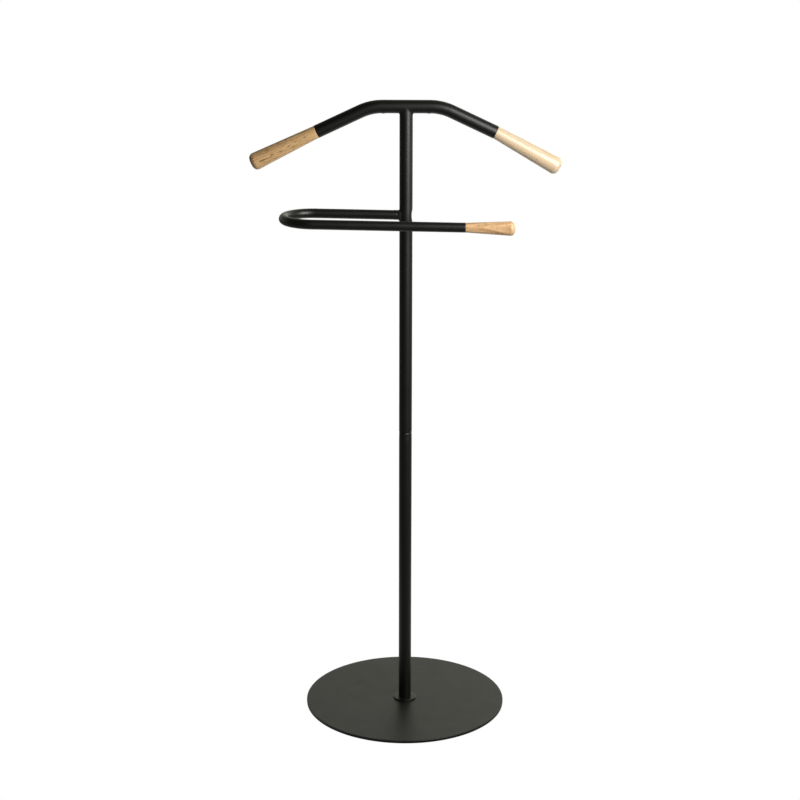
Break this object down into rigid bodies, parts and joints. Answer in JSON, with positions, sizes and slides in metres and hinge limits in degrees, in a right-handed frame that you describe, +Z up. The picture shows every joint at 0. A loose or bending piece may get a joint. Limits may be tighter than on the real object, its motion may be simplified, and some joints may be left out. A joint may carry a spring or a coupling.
{
  "type": "valet stand",
  "caption": "Free-standing valet stand: round steel foot, slim pole, coat hanger with wooden shoulder tips and a U-shaped trouser bar with a wooden tip.",
  "frame": {"origin": "on the floor, on the axis of the pole and at the centre of the round foot", "axes": "+Z up; X along the hanger; -Y is the front, where the trouser bar stands out from the pole; the closed bend of the trouser bar is on the -X side"},
  "size_m": [0.5165, 0.351, 1.071],
  "materials": {
    "black_powder_coat": "satin black powder coat",
    "natural_wood": "light oak, sanded smooth under a thin clear lacquer",
    "zinc_plated_steel": "bright zinc plate",
    "black_oxide_screw": "black oxide",
    "floor_pad": "matt foam rubber"
  },
  "bodies": {
    "root": {"base_pads": "floor_pad", "base_plate": "black_powder_coat", "base_screw": "zinc_plated_steel", "foot_flange": "black_powder_coat", "foot_plug": "zinc_plated_steel", "lower_pole": "black_powder_coat", "joint_collar": "black_powder_coat", "joint_stud": "zinc_plated_steel", "joint_insert": "zinc_plated_steel", "upper_pole": "black_powder_coat", "hanger_tube": "black_powder_coat", "hanger_weld": "black_powder_coat", "left_shoulder_tip": "natural_wood", "right_shoulder_tip": "natural_wood", "trouser_bar": "black_powder_coat", "bar_saddle": "black_powder_coat", "bar_screw": "black_oxide_screw", "bar_tip": "natural_wood"}
  },
  "joints": []
}
